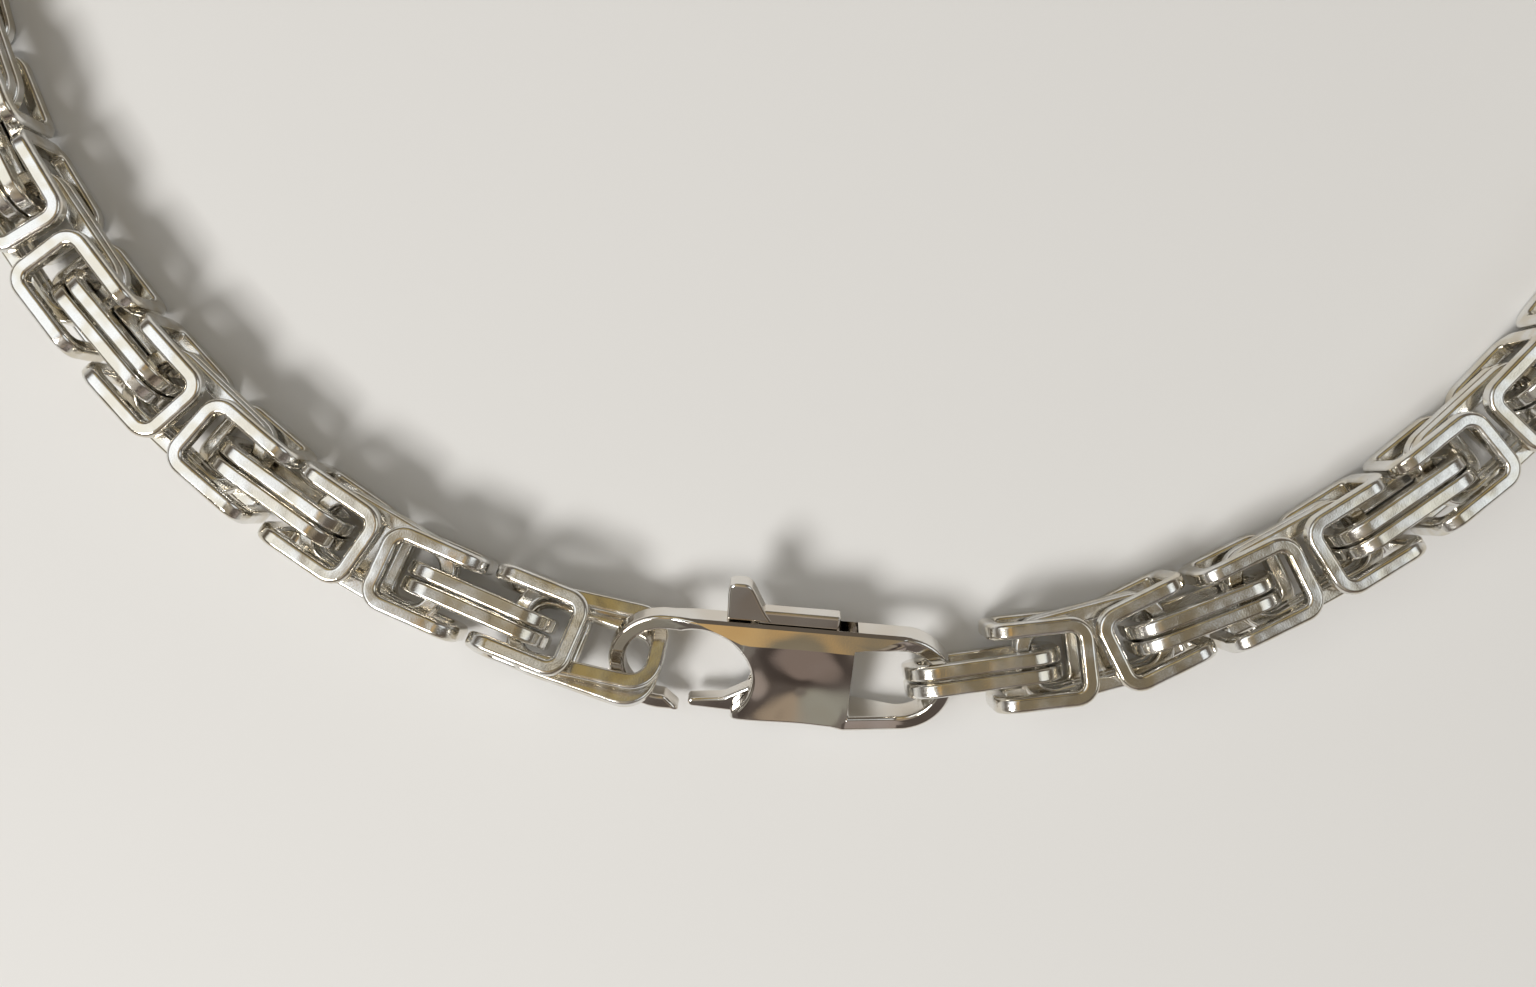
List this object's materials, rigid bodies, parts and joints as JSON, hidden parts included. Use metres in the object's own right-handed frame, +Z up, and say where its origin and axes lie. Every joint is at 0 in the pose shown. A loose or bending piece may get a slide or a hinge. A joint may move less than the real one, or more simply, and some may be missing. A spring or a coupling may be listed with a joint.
{
  "type": "byzantine neck chain with lobster clasp",
  "caption": "Square byzantine chain necklace with a lobster clasp: closes round the neck as one loop, here lying closed in an oval on a surface.",
  "frame": {"origin": "on the surface that the necklace lies on, under the middle of its bounding box", "axes": "+Z up; +Y from the clasp to the far middle of the chain; +X from the clasp's hook to its ring"},
  "size_m": [0.1442, 0.21, 0.0073],
  "materials": {
    "chain_steel": "bright polished stainless steel, finely scratched",
    "clasp_steel": "mirror polished stainless steel",
    "lever_steel": "polished stainless steel, lightly tumbled",
    "pin_steel": "turned steel, hidden"
  },
  "bodies": {
    "root": {"chain_right": "chain_steel", "chain_left": "chain_steel", "clasp_body": "clasp_steel", "clasp_pin": "pin_steel"},
    "lever": {"clasp_lever": "lever_steel"}
  },
  "joints": [
    {"name": "lever_hinge", "type": "hinge", "parent": "root", "child": "lever", "pos_m": [0.00102, -0.10009, 0.00348], "axis": [-0.0078, 0.4464, -0.8948], "range_deg": [0, 20], "stiffness_Nm_per_rad": 0.003, "springref_deg": -17.19}
  ]
}
